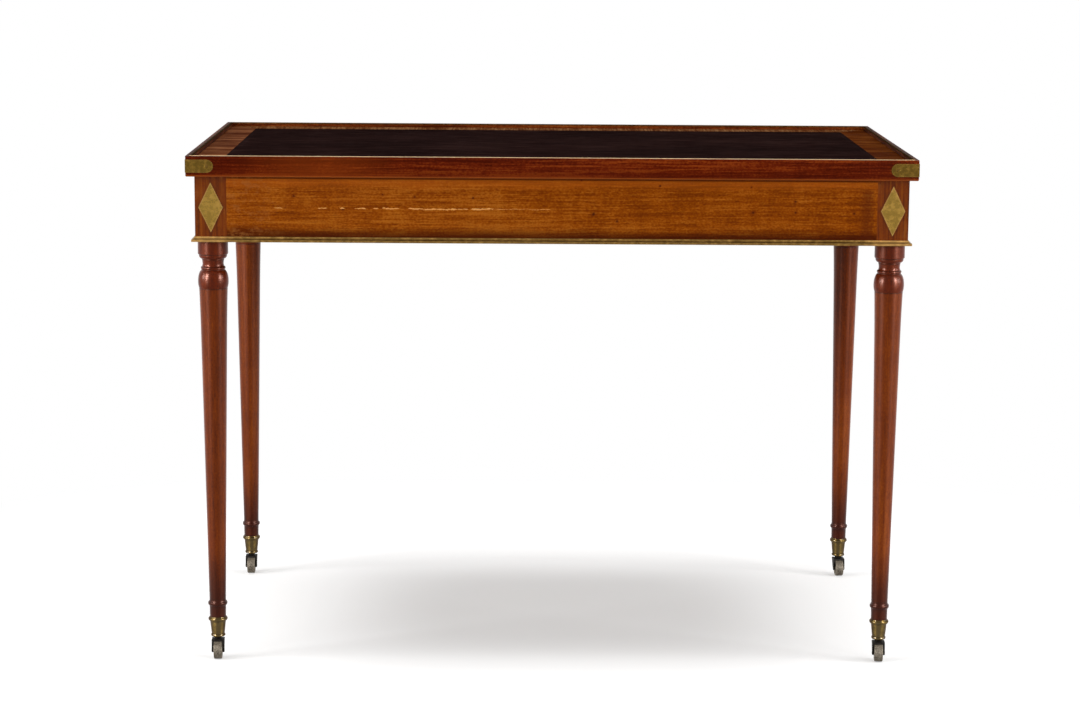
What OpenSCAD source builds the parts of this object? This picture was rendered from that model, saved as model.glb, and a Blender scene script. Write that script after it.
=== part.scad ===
// A tric-trac table: a shallow mahogany games case on four turned legs with
// brass caps and casters, closed by a loose reversible top.
// Millimetres, +Z up, X along the long side, -Y is the front,
// origin on the floor under the middle of the table.

/* [Overall] */
// Width over the rim
table_w = 1060; // [980:1:1180]
// Depth over the rim
table_d = 585; // [560:1:660]
// Height from the floor to the top of the wooden rim
table_h = 756; // [700:1:800]

/* [Rim] */
// Height of the rim rails
rim_h = 30; // [28:0.5:36]
// How far the rim stands out over the case
rim_overhang = 11.5; // [9:0.5:16]
// Thickness of the raised lip round the loose top
lip_t = 8; // [7:0.5:9]
// Thickness of the ledge that the loose top rests on
ledge_t = 6; // [4:0.5:8]
// Radius along the lower outer edge of the rim
rim_round = 2; // [1:0.5:5]
// Width of the brass fillet along the inner top edge
fillet_w = 3; // [2:0.25:4]
// Depth to which the brass fillet is let in
fillet_t = 1.5; // [1:0.25:3]
// How far the crown of the brass fillet stands over the wood
fillet_crown = 0.3; // [0.2:0.1:0.8]

/* [Case] */
// Height of the case boards
case_h = 95.5; // [88:0.5:110]
// Thickness of the case boards
board_t = 20; // [17:0.5:22]
// Side of the square stile at the top of each leg
stile_w = 46; // [45:0.5:55]
// Thickness of the tenons on the case boards
tenon_t = 8; // [5:0.5:9]
// Length of the tenons on the case boards
tenon_l = 24; // [14:1:26]
// Shoulder above and below each tenon
tenon_shoulder = 12; // [8:1:20]
// Thickness of the case bottom
bottom_t = 10; // [8:0.5:12]
// How far the case bottom lies above the lower edge of the boards
bottom_up = 8; // [4:1:12]
// Depth of the groove that holds the case bottom
groove_d = 5; // [3:0.5:6]

/* [Brass moulding] */
// Height of the moulding round the bottom edge
mould_h = 7.5; // [6:0.5:10]
// How far the moulding stands out from the case
mould_out = 5.3; // [4:0.1:7]
// Height of the flat outer edge of the moulding
mould_edge = 3.5; // [2:0.5:5]
// Thickness of the moulding at its upper edge
mould_lip = 1; // [0.6:0.1:1.5]

/* [Brass plates] */
// Thickness of the corner straps and lozenges
plate_t = 1.2; // [0.9:0.1:1.6]
// How far the plates stand out of the wood
plate_proud = 0.6; // [0.3:0.1:0.8]
// Length of a corner strap from the corner along each face
strap_l = 40; // [32:1:60]
// Height of a corner strap
strap_h = 19; // [16:0.5:20]
// Distance from the top of the rim to the upper edge of a strap
strap_drop = 5; // [3:0.5:6]
// Radius of a strap screw's head
strap_screw_r = 2.8; // [2.2:0.1:3.6]
// Radius of a strap screw's shank
strap_shank_r = 1.3; // [1:0.1:1.6]
// Length of a strap screw
strap_screw_l = 6; // [4:0.5:6.5]
// Width of a lozenge
lozenge_w = 35.5; // [26:0.5:40]
// Distance from the rim down to a lozenge's upper tip
lozenge_top_gap = 9; // [4:0.5:16]
// Distance from the moulding up to a lozenge's lower tip
lozenge_foot_gap = 6; // [3:0.5:14]

/* [Playing well] */
// Width of the end compartment at each side
end_w = 130; // [80:1:140]
// Thickness of the dividers
divider_t = 8; // [6:0.5:10]
// Width of the peg bands along the long sides
band_w = 20; // [16:1:24]
// How far the bands and dividers stay below the top of the case
well_drop = 3; // [1:0.5:8]
// Thickness of the playing field
field_t = 4; // [3:0.5:6]
// Depth of the inlaid points
inlay_t = 1.5; // [1:0.25:2]
// Width of a point at its base
point_w = 46; // [30:1:47]
// Length of a point
point_l = 195; // [140:1:200]
// Distance from a band to the base of the points
point_margin = 3; // [1:0.5:6]
// Width of the centre bar
bar_w = 14; // [10:1:18]
// Height of the centre bar above the field
bar_h = 35; // [24:1:48]
// Radius of a peg hole
peg_r = 1.6; // [1.2:0.1:2.2]
// Depth of a peg hole
peg_depth = 14; // [8:1:20]
// Outer radius of the bone eyelet round a peg hole
eyelet_r = 3.4; // [2.8:0.1:5]
// Thickness of a bone eyelet
eyelet_t = 1.5; // [1:0.25:3]

/* [Loose top] */
// Thickness of the loose top
top_t = 18; // [14:0.5:20]
// Clearance between the loose top and the lip, all round
top_clear = 1; // [0.5:0.1:1.5]
// Width of the mahogany border
border_w = 42; // [30:1:60]
// Thickness of the leather
leather_t = 1.2; // [0.8:0.1:2]
// Thickness of the baize
baize_t = 1.2; // [0.8:0.1:2]
// Thickness of the core's tongue
tongue_t = 6; // [4:0.5:8]
// Length of the core's tongue
tongue_l = 8; // [5:0.5:12]

/* [Legs] */
// Radius of the drum under the case
drum_r = 22.1; // [18:0.1:23]
// Height of the drum under the case
drum_h = 19.5; // [14:0.5:26]
// Smallest radius of the neck
neck_r = 15.4; // [12:0.1:16]
// Height of the neck between drum and collar
neck_h = 20; // [17:0.5:28]
// Radius of the collar ring under the neck
collar_r = 18; // [16.8:0.1:19.6]
// Largest radius of the bulb
bulb_r = 22.3; // [21:0.1:24]
// Height of the bulb
bulb_h = 27; // [22:0.5:36]
// Radius of the shaft's straight taper, carried up to its top
shaft_r = 20.2; // [17.5:0.1:21]
// How much wider than that taper the shaft flares at its top
shaft_flare = 0.6; // [0.2:0.1:1]
// Height of that flare
shaft_flare_h = 65; // [30:5:100]
// Radius of the shaft just above the foot ring
ankle_r = 12.2; // [11.6:0.1:13]
// Radius of the foot ring
foot_ring_r = 14.4; // [13.4:0.1:16]
// Height of the foot ring with its flares
foot_ring_h = 13; // [10:0.5:16]
// Height of the plain stretch between foot ring and brass cap
ankle_h = 14; // [8:0.5:24]

/* [Brass caps] */
// Height of a brass cap
cap_h = 30.5; // [28:0.5:40]
// Radius of the cap under its bead
cap_r = 11.8; // [11:0.1:12.4]
// Radius of the cap above its foot bead
cap_foot_r = 9.8; // [8.8:0.1:10.4]
// Radius of the bead near the top of the cap
cap_bead_r = 14.3; // [13:0.1:16]
// Radius of the foot bead
cap_foot_bead_r = 10.7; // [9.8:0.1:11.4]
// Wall of the cap
cap_wall = 1.3; // [1:0.1:1.6]
// Floor of the cap
cap_floor = 2.5; // [1.5:0.25:3.5]

/* [Casters] */
// Radius of a caster wheel
wheel_r = 13; // [11:0.5:16]
// Width of a caster wheel
wheel_w = 12.5; // [10:0.5:15]
// Distance from the upright pivot to the axle
trail = 9; // [6:0.5:12]
// Thickness of each cheek of the fork
cheek_t = 2.8; // [2.2:0.1:4]
// Play between the wheel and each cheek
wheel_play = 0.3; // [0.2:0.05:0.6]
// Thickness of the fork's crown
crown_t = 2.2; // [1.8:0.1:4]
// Gap between the wheel and the crown
crown_gap = 0.6; // [0.5:0.1:2]
// Radius of the boss round the axle at each cheek's end
boss_r = 3.6; // [3.2:0.1:5]
// Radius of the fork's neck
fork_neck_r = 5.2; // [4.6:0.1:8]
// Height of the fork's neck
fork_neck_h = 3.7; // [2.5:0.1:6]
// Radius of the axle
axle_r = 2; // [1.5:0.1:2.6]
// Radius of the upright pivot pin
pivot_r = 3; // [2.2:0.1:3.6]
// Radial running clearance of axle and pivot
running = 0.07; // [0.03:0.01:0.1]
// Gap between the fork's neck and the brass cap
swivel_gap = 0.3; // [0.2:0.05:0.5]
// Turn of the front left caster at rest, degrees
turn_front_left = 3; // [-180:1:180]
// Turn of the front right caster at rest, degrees
turn_front_right = -4; // [-180:1:180]
// Turn of the back right caster at rest, degrees
turn_back_right = 4; // [-180:1:180]
// Turn of the back left caster at rest, degrees
turn_back_left = 1; // [-180:1:180]

/* [Hidden] */

$fn = 48;
eps = 0.01;       // overshoot of cutting solids
arc_steps = 8;    // points along a small turned curve
glue_gap = 0.05;  // gap between leg and brass cap

// sides: 0 front, 1 right, 2 back, 3 left
// corners: 0 front left, 1 front right, 2 back right, 3 back left
corner_x = [-1, 1, 1, -1];
corner_y = [-1, -1, 1, 1];
turns = [turn_front_left, turn_front_right, turn_back_right, turn_back_left];

// plan sizes
case_w = table_w - 2 * rim_overhang;
case_d = table_d - 2 * rim_overhang;
inside_w = case_w - 2 * board_t;
inside_d = case_d - 2 * board_t;
leg_x = case_w / 2 - stile_w / 2;
leg_y = case_d / 2 - stile_w / 2;
ledge_w = rim_overhang + board_t;

// heights
rim_z = table_h - rim_h;
case_z = rim_z - case_h;
ledge_z = rim_z + ledge_t;
bottom_z = case_z + bottom_up;
well_z = bottom_z + bottom_t;
field_z = well_z + field_t;
band_h = rim_z - well_drop - well_z;
strap_z = table_h - strap_drop - strap_h / 2;
lozenge_foot_z = case_z + mould_h + lozenge_foot_gap;
lozenge_h = rim_z - lozenge_top_gap - lozenge_foot_z;
lozenge_z = lozenge_foot_z + lozenge_h / 2;

// playing field
field_w = inside_w - 2 * end_w - 2 * divider_t;
field_d = inside_d - 2 * band_w;
points_a_side = 6;
half_w = (field_w - bar_w) / 2;
pitch = half_w / points_a_side;

// loose top
top_w = table_w - 2 * lip_t - 2 * top_clear;
top_d = table_d - 2 * lip_t - 2 * top_clear;
leather_w = top_w - 2 * border_w;
leather_d = top_d - 2 * border_w;
tongue_z = (top_t - tongue_t) / 2;

// caster heights
crown_z = 2 * wheel_r + crown_gap;
neck_z = crown_z + crown_t;
cap_z = neck_z + fork_neck_h + swivel_gap;
ankle_z = cap_z + cap_h;
foot_ring_z = ankle_z + ankle_h;
fork_w = wheel_w + 2 * wheel_play + 2 * cheek_t;

// pivot rivet head above the cap's floor
rivet_r = pivot_r + 1.8;
rivet_t = 2;
rivet_room = 0.6;

// points on part of an ellipse, from angle a0 to angle a1
function curve(x, z, rx, rz, a0, a1, steps = arc_steps) =
    [for (i = [0:steps])
        let (a = a0 + (a1 - a0) * i / steps)
        [x + rx * cos(a), z + rz * sin(a)]];

// span of a side along itself, and its distance from the middle
function span(side, w, d) = side % 2 == 0 ? w : d;
function reach(side, w, d) = side % 2 == 0 ? d / 2 : w / 2;

// puts children, drawn with their outer face on y = 0 and inward +Y, at a side
module on_side(side, w, d) {
    rotate(90 * side) translate([0, -reach(side, w, d), 0]) children();
}

// puts children, drawn round a leg's axis with -X and -Y outward, at a corner
module at_leg(corner) {
    translate([corner_x[corner] * leg_x, corner_y[corner] * leg_y, 0])
        rotate(90 * corner) children();
}

// puts children, drawn inward along +X and +Y from the rim's corner, at a corner
module at_rim_corner(corner) {
    translate([corner_x[corner] * table_w / 2, corner_y[corner] * table_d / 2, 0])
        rotate(90 * corner) children();
}

// runs a profile, drawn as distance inward and height, along a side, mitred
module mitred(len, out, inward, z0, z1) {
    intersection() {
        rotate([90, 0, 90]) linear_extrude(len + 2 * out, center = true) children();
        translate([0, 0, z0 - 1]) linear_extrude(z1 - z0 + 2) polygon([
            [-len / 2 - out, -out], [len / 2 + out, -out],
            [len / 2 - inward, inward], [-len / 2 + inward, inward]
        ]);
    }
}

// Case

module case_board(side) {
    len = span(side, case_w, case_d) - 2 * stile_w;
    tenon_y = (board_t - tenon_t) / 2;
    color("peru") on_side(side, case_w, case_d) difference() {
        union() {
            translate([-len / 2, 0, case_z]) cube([len, board_t, case_h]);
            translate([-len / 2 - tenon_l, tenon_y, case_z + tenon_shoulder])
                cube([len + 2 * tenon_l, tenon_t, case_h - 2 * tenon_shoulder]);
        }
        translate([-len / 2 - eps, board_t - groove_d, bottom_z])
            cube([len + 2 * eps, groove_d + eps, bottom_t]);
    }
}

module case_bottom() {
    w = inside_w + 2 * groove_d;
    d = inside_d + 2 * groove_d;
    color("sienna") difference() {
        translate([-w / 2, -d / 2, bottom_z]) cube([w, d, bottom_t]);
        for (corner = [0:3]) at_leg(corner)
            translate([-stile_w / 2 - groove_d, -stile_w / 2 - groove_d, bottom_z - 1])
                cube([stile_w + groove_d, stile_w + groove_d, bottom_t + 2]);
    }
}

// Rim

module rim_profile() {
    difference() {
        polygon(concat(
            curve(rim_round, rim_z + rim_round, rim_round, rim_round, 180, 270),
            [[ledge_w, rim_z], [ledge_w, ledge_z], [lip_t, ledge_z],
             [lip_t, table_h], [0, table_h]]
        ));
        translate([lip_t - fillet_w, table_h - fillet_t])
            square([fillet_w + eps, fillet_t + eps]);
    }
}

module rim_rail(side) {
    color("saddlebrown") difference() {
        on_side(side, table_w, table_d)
            mitred(span(side, table_w, table_d), 0, ledge_w, rim_z, table_h) rim_profile();
        for (corner = [side, (side + 1) % 4]) at_rim_corner(corner) {
            strap_blank();
            strap_drill();
        }
    }
}

module rim_fillet(side) {
    top = concat(
        [[lip_t - fillet_w, table_h - fillet_t], [lip_t, table_h - fillet_t]],
        curve(lip_t - fillet_w / 2, table_h, fillet_w / 2, fillet_crown, 0, 180)
    );
    color("gold") on_side(side, table_w, table_d)
        mitred(span(side, table_w, table_d), 0, ledge_w, rim_z, table_h + fillet_crown)
            polygon(top);
}

// Brass moulding round the bottom of the case

module moulding(side) {
    cove_w = mould_out - mould_lip;
    cove_h = mould_h - mould_edge;
    color("darkgoldenrod") on_side(side, case_w, case_d)
        mitred(span(side, case_w, case_d), mould_out, 0, case_z, case_z + mould_h)
            polygon(concat(
                [[0, case_z], [0, case_z + mould_h]],
                curve(-mould_out, case_z + mould_h, cove_w, cove_h, 0, -90),
                [[-mould_out, case_z]]
            ));
}

// Corner straps and their screws

strap_screw_x = strap_l - strap_h / 2;

module strap_outline() {
    translate([-plate_proud, -strap_h / 2])
        square([strap_l + plate_proud - strap_h / 2, strap_h]);
    translate([strap_screw_x, 0]) circle(strap_h / 2);
}

module strap_leaf() {
    translate([0, plate_t - plate_proud, strap_z])
        rotate([90, 0, 0]) linear_extrude(plate_t) strap_outline();
}

module strap_blank() {
    strap_leaf();
    mirror([1, -1, 0]) strap_leaf();
}

// puts children, drawn along +Z into the wood, at a corner's two screws
module at_strap_screws() {
    translate([strap_screw_x, -plate_proud, strap_z]) rotate([-90, 0, 0]) children();
    mirror([1, -1, 0])
        translate([strap_screw_x, -plate_proud, strap_z]) rotate([-90, 0, 0]) children();
}

module strap_screw() {
    slot_w = 0.6;
    slot_d = 0.5;
    difference() {
        union() {
            cylinder(h = plate_t, r1 = strap_screw_r, r2 = strap_shank_r);
            cylinder(h = strap_screw_l, r = strap_shank_r);
        }
        translate([-strap_screw_r - 1, -slot_w / 2, -eps])
            cube([2 * strap_screw_r + 2, slot_w, slot_d]);
    }
}

module strap_drill() {
    at_strap_screws() cylinder(h = strap_screw_l, r = strap_shank_r);
}

module corner_strap(corner) {
    color("darkgoldenrod") at_rim_corner(corner) difference() {
        strap_blank();
        at_strap_screws()
            cylinder(h = plate_t, r1 = strap_screw_r, r2 = strap_shank_r);
    }
}

module strap_screws() {
    color("goldenrod") for (corner = [0:3])
        at_rim_corner(corner) at_strap_screws() strap_screw();
}

// Lozenges on the stiles

module lozenge_blank() {
    translate([0, -stile_w / 2 + plate_t - plate_proud, lozenge_z])
        rotate([90, 0, 0]) linear_extrude(plate_t) polygon([
            [-lozenge_w / 2, 0], [0, -lozenge_h / 2],
            [lozenge_w / 2, 0], [0, lozenge_h / 2]
        ]);
}

module lozenge_pair() {
    lozenge_blank();
    mirror([1, -1, 0]) lozenge_blank();
}

module lozenge_plates() {
    color("goldenrod") for (corner = [0:3]) at_leg(corner) lozenge_pair();
}

// Legs, each with its stile

module mortise() {
    y = -stile_w / 2 + (board_t - tenon_t) / 2;
    translate([stile_w / 2 - tenon_l, y, case_z + tenon_shoulder])
        cube([tenon_l + eps, tenon_t, case_h - 2 * tenon_shoulder]);
}

// points up the shaft's flare, from where it leaves the taper between heights z0 and z1
function flared(z0, z1) =
    [for (i = [0:arc_steps])
        let (down = shaft_flare_h * (1 - i / arc_steps))
        [shaft_r - (shaft_r - ankle_r) * down / (z1 - z0) + shaft_flare * pow(i / arc_steps, 2),
         z1 - down]];

module leg_turning() {
    into_stile = 1;
    step_h = 1.5;
    drum_round = 1.6;
    ovolo_h = 4.6;
    ovolo_w = 4;
    band_fillet_h = 1.5;
    flare_h = 5;
    ring_h = 3;
    line_h = 0.8;
    line_d = 0.35;
    bead_h = 5;
    bead_w = 1.1;
    neck_top = case_z - drum_h;
    collar_z = neck_top - neck_h;
    bulb_z = collar_z - ring_h - 1.2;
    bulb_core = collar_r - 2.5;
    bulb_mid = bulb_z - 0.62 * bulb_h;
    bulb_turn = 50;
    shaft_z = bulb_z - bulb_h;
    shaft_top_r = shaft_r + shaft_flare;
    bulb_low_r = (bulb_r - shaft_top_r) / (1 - cos(bulb_turn));
    ovolo_z = neck_top - drum_round - step_h;
    ovolo_r = drum_r - drum_round;
    ring_mid = foot_ring_z + foot_ring_h / 2;
    shoulder_r = ankle_r - 0.2;
    stem_r = cap_r - cap_wall - glue_gap - 0.1;
    stem_foot_r = cap_foot_r - cap_wall - glue_gap;
    stem_z = cap_z + cap_floor + glue_gap;
    rotate_extrude($fn = 96) polygon(concat(
        [[0, stem_z], [stem_foot_r, stem_z], [stem_r, ankle_z], [shoulder_r, ankle_z],
         [ankle_r, foot_ring_z]],
        curve(foot_ring_r - bead_w, foot_ring_z, foot_ring_r - bead_w - ankle_r,
            (foot_ring_h - bead_h) / 2, 180, 90),
        curve(foot_ring_r - bead_w, ring_mid, bead_w, bead_h / 2, -90, 90),
        curve(foot_ring_r - bead_w, foot_ring_z + foot_ring_h,
            foot_ring_r - bead_w - ankle_r, (foot_ring_h - bead_h) / 2, 270, 180),
        flared(foot_ring_z + foot_ring_h, shaft_z - line_h),
        [[shaft_top_r - line_d, shaft_z - line_h], [shaft_top_r - line_d, shaft_z]],
        curve(bulb_r - bulb_low_r, bulb_mid, bulb_low_r,
            (bulb_mid - shaft_z) / sin(bulb_turn), -bulb_turn, 0),
        curve(bulb_core, bulb_mid, bulb_r - bulb_core, bulb_z - bulb_mid, 0, 76),
        [[collar_r - 0.7, bulb_z], [collar_r - 0.7, collar_z - ring_h]],
        curve(collar_r - 0.7, collar_z - ring_h / 2, 0.7, ring_h / 2, -80, 80),
        curve(collar_r - 0.5, collar_z + flare_h, collar_r - 0.5 - neck_r, flare_h, 270, 180),
        [[neck_r + 0.3, ovolo_z - ovolo_h - band_fillet_h - 2.5],
         [neck_r + 0.9, ovolo_z - ovolo_h - band_fillet_h],
         [neck_r + 0.9, ovolo_z - ovolo_h]],
        curve(ovolo_r - ovolo_w, ovolo_z, ovolo_w, ovolo_h, -90, 0),
        [[ovolo_r, neck_top - drum_round]],
        curve(ovolo_r, neck_top, drum_round, drum_round, -60, 0),
        [[drum_r, case_z + into_stile], [0, case_z + into_stile]]
    ));
}

module leg(corner) {
    color("sienna") at_leg(corner) difference() {
        union() {
            translate([-stile_w / 2, -stile_w / 2, case_z])
                cube([stile_w, stile_w, case_h]);
            leg_turning();
        }
        mortise();
        mirror([1, -1, 0]) mortise();
        lozenge_pair();
        translate([0, 0, cap_z])
            cylinder(h = cap_floor + rivet_t + 2 * rivet_room, r = rivet_r + rivet_room);
    }
}

// Brass caps on the feet

module cap(corner) {
    foot_bead_h = 3.8;
    bead_h = 4.6;
    throat_h = 1.6;
    bead_z = ankle_z - 3.6;
    hole_r = pivot_r + running;
    inner_r = cap_r - cap_wall - 0.1;
    inner_foot_r = cap_foot_r - cap_wall;
    rim_r = ankle_r + 0.1;
    color("darkgoldenrod") at_leg(corner) rotate_extrude($fn = 96) polygon(concat(
        [[hole_r, cap_z]],
        curve(cap_foot_r - 0.3, cap_z + foot_bead_h / 2, cap_foot_bead_r - cap_foot_r + 0.3,
            foot_bead_h / 2, -90, 90),
        [[cap_foot_r, cap_z + foot_bead_h + 1.2],
         [cap_r - 0.2, bead_z - bead_h / 2 - throat_h - 0.6],
         [cap_r + 0.2, bead_z - bead_h / 2 - throat_h]],
        curve(cap_bead_r - 1, bead_z - bead_h / 2 - throat_h, cap_bead_r - cap_r - 1.2,
            throat_h, 180, 90),
        curve(cap_bead_r - 1, bead_z, 1, bead_h / 2 - 0.3, -80, 80),
        curve(cap_bead_r - 1, ankle_z, cap_bead_r - 1 - rim_r, 1.4, 270, 180),
        [[inner_r, ankle_z], [inner_foot_r, cap_z + cap_floor], [hole_r, cap_z + cap_floor]]
    ));
}

// Casters: drawn round the pivot with the wheel trailing along -Y

module at_caster(corner) {
    translate([corner_x[corner] * leg_x, corner_y[corner] * leg_y, 0])
        rotate(turns[corner]) children();
}

// puts children, drawn round Z, on the axle with Z along X
module on_axle() {
    translate([0, -trail, wheel_r]) rotate([0, 90, 0]) children();
}

module cheek_outline() {
    back = fork_neck_r + 0.8;
    polygon([
        [back, neck_z], [back, crown_z + 0.6], [back - 1.4, crown_z - 1.2],
        [-trail + boss_r * cos(20), wheel_r - boss_r * sin(20)],
        [-trail - boss_r * cos(10), wheel_r + boss_r * sin(10)],
        [-trail - boss_r * cos(10), crown_z - 3.5], [-trail - 1.5, neck_z]
    ]);
    translate([-trail, wheel_r]) circle(boss_r);
}

module fork(corner) {
    slot_w = wheel_w + 2 * wheel_play;
    deep = trail + wheel_r + 2;
    color("dimgray") at_caster(corner) {
        difference() {
            union() {
                rotate([90, 0, 90]) linear_extrude(fork_w, center = true) cheek_outline();
                translate([0, 0, neck_z - 1]) cylinder(h = fork_neck_h + 1, r = fork_neck_r);
                translate([0, 0, neck_z])
                    cylinder(h = fork_neck_h + swivel_gap + cap_floor + rivet_room, r = pivot_r);
                translate([0, 0, cap_z + cap_floor + rivet_room / 2])
                    cylinder(h = rivet_t, r = rivet_r);
            }
            translate([-slot_w / 2, -deep, -1]) cube([slot_w, 2 * deep, crown_z + 1]);
            on_axle() cylinder(h = fork_w + 2, r = axle_r, center = true);
        }
    }
}

module axle(corner) {
    peen = 0.4;
    color("darkgray") at_caster(corner) on_axle()
        cylinder(h = fork_w + 2 * peen, r = axle_r, center = true);
}

module wheel(corner) {
    edge = 1.4;
    dish = 1.6;
    hub_r = axle_r + 3;
    web_r = wheel_r - 3;
    half = wheel_w / 2;
    bore = axle_r + running;
    color("rosybrown") at_caster(corner) on_axle() rotate_extrude($fn = 96) polygon(concat(
        [[bore, -half], [hub_r, -half], [hub_r + 0.6, -half + dish], [web_r - 0.6, -half + dish],
         [web_r, -half]],
        curve(wheel_r - edge, -half + edge, edge, edge, -90, 0),
        curve(wheel_r - edge, half - edge, edge, edge, 0, 90),
        [[web_r, half], [web_r - 0.6, half - dish], [hub_r + 0.6, half - dish], [hub_r, half],
         [bore, half]]
    ));
}

// Playing well

// middle of each point along X, for the left half (-1) or the right half (1)
function point_x(half, i) = half * (bar_w / 2 + pitch * (i + 0.5));

// outlines of the points of one colour, kind 0 or 1
module points(kind) {
    for (end = [0, 1], half = [-1, 1], i = [0:points_a_side - 1])
        if ((i + end + (half > 0 ? 1 : 0)) % 2 == kind)
            rotate(180 * end)
                translate([point_x(half, i), -field_d / 2 + point_margin, field_z - inlay_t])
                    linear_extrude(inlay_t)
                        polygon([[-point_w / 2, 0], [point_w / 2, 0], [0, point_l]]);
}

module playing_field() {
    color("burlywood") difference() {
        translate([-field_w / 2, -field_d / 2, well_z]) cube([field_w, field_d, field_t]);
        points(0);
        points(1);
    }
}

module points_bone() {
    color("ivory") points(0);
}

module points_green() {
    color("darkgreen") points(1);
}

module centre_bar() {
    round_h = bar_w / 4;
    color("sienna") translate([0, field_d / 2, 0]) rotate([90, 0, 0])
        linear_extrude(field_d) polygon(concat(
            [[-bar_w / 2, field_z], [bar_w / 2, field_z]],
            curve(0, field_z + bar_h - round_h, bar_w / 2, round_h, 0, 180)
        ));
}

// puts children, drawn down from z = 0, at every peg hole of one band
module at_pegs(end) {
    for (half = [-1, 1], i = [0:points_a_side - 1])
        rotate(180 * end)
            translate([point_x(half, i), -inside_d / 2 + band_w / 2, well_z + band_h])
                children();
}

module peg_band(end) {
    color("sienna") difference() {
        rotate(180 * end) translate([-field_w / 2, -inside_d / 2, well_z])
            cube([field_w, band_w, band_h]);
        at_pegs(end) {
            translate([0, 0, -peg_depth]) cylinder(h = peg_depth + eps, r = peg_r);
            translate([0, 0, -eyelet_t]) cylinder(h = eyelet_t + eps, r = eyelet_r);
        }
    }
}

module peg_eyelets() {
    color("ivory") for (end = [0, 1]) at_pegs(end) translate([0, 0, -eyelet_t])
        difference() {
            cylinder(h = eyelet_t, r = eyelet_r);
            translate([0, 0, -eps]) cylinder(h = eyelet_t + 2 * eps, r = peg_r);
        }
}

module divider(half) {
    x = half * (field_w + divider_t) / 2;
    color("sienna") translate([x - divider_t / 2, -inside_d / 2, well_z])
        cube([divider_t, inside_d, band_h]);
}

// Loose reversible top

module top_border(side) {
    color("saddlebrown") on_side(side, top_w, top_d)
        mitred(span(side, top_w, top_d), 0, border_w, ledge_z, ledge_z + top_t) difference() {
            translate([0, ledge_z]) square([border_w, top_t]);
            translate([border_w - tongue_l, ledge_z + tongue_z])
                square([tongue_l + eps, tongue_t]);
        }
}

module slab(w, d, z, t) {
    translate([-w / 2, -d / 2, z]) cube([w, d, t]);
}

module top_core() {
    color("tan") union() {
        slab(leather_w, leather_d, ledge_z + baize_t, top_t - baize_t - leather_t);
        slab(leather_w + 2 * tongue_l, leather_d + 2 * tongue_l, ledge_z + tongue_z, tongue_t);
    }
}

module top_leather() {
    color("black") slab(leather_w, leather_d, ledge_z + top_t - leather_t, leather_t);
}

module top_baize() {
    color("green") slab(leather_w, leather_d, ledge_z, baize_t);
}

case_board(0);  // case_front
case_board(1);  // case_right
case_board(2);  // case_back
case_board(3);  // case_left
leg(0);  // leg_front_left
leg(1);  // leg_front_right
leg(2);  // leg_back_right
leg(3);  // leg_back_left
rim_rail(0);  // rim_rail_front
rim_rail(1);  // rim_rail_right
rim_rail(2);  // rim_rail_back
rim_rail(3);  // rim_rail_left
rim_fillet(0);  // rim_fillet_front
rim_fillet(1);  // rim_fillet_right
rim_fillet(2);  // rim_fillet_back
rim_fillet(3);  // rim_fillet_left
moulding(0);  // moulding_front
moulding(1);  // moulding_right
moulding(2);  // moulding_back
moulding(3);  // moulding_left
corner_strap(0);  // strap_front_left
corner_strap(1);  // strap_front_right
corner_strap(2);  // strap_back_right
corner_strap(3);  // strap_back_left
strap_screws();
lozenge_plates();
case_bottom();
playing_field();
points_bone();
points_green();
centre_bar();
peg_band(0);  // peg_band_front
peg_band(1);  // peg_band_back
peg_eyelets();
divider(-1);  // divider_left
divider(1);  // divider_right
top_core();
top_border(0);  // top_border_front
top_border(1);  // top_border_right
top_border(2);  // top_border_back
top_border(3);  // top_border_left
top_leather();
top_baize();
cap(0);  // cap_front_left
cap(1);  // cap_front_right
cap(2);  // cap_back_right
cap(3);  // cap_back_left
fork(0);  // fork_front_left
fork(1);  // fork_front_right
fork(2);  // fork_back_right
fork(3);  // fork_back_left
axle(0);  // axle_front_left
axle(1);  // axle_front_right
axle(2);  // axle_back_right
axle(3);  // axle_back_left
wheel(0);  // wheel_front_left
wheel(1);  // wheel_front_right
wheel(2);  // wheel_back_right
wheel(3);  // wheel_back_left
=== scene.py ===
"""Looks for the tric-trac table: finishes, the leather and baize linings, the camera, lights and floor."""

import math

import bmesh
import bpy
from mathutils import Matrix, Vector, noise


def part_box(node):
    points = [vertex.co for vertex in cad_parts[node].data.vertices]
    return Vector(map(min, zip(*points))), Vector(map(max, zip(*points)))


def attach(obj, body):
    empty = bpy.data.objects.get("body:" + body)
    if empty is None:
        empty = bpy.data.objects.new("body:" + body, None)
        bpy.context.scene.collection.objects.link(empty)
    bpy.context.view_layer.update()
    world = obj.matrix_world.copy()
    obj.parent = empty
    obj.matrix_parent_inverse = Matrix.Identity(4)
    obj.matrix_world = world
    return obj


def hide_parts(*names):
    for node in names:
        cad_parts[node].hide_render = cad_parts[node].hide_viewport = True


SIDES = ("front", "right", "back", "left")
CORNERS = ("front_left", "front_right", "back_right", "back_left")

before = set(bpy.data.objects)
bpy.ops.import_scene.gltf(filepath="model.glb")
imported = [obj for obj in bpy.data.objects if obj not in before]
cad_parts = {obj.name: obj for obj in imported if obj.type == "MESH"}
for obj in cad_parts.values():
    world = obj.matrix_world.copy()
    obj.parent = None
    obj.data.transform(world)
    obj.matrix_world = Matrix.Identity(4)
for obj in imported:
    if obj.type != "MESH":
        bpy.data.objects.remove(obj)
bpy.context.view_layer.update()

# All lengths are in metres, and all colours are red, green and blue as read off a screen, 0 to 255

CASE_LOW, CASE_HIGH = (corner.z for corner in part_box("case_front"))
CASE_END_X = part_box("case_front")[1].x

# Camera, fitted to the straight edges of the table in the photograph

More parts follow.
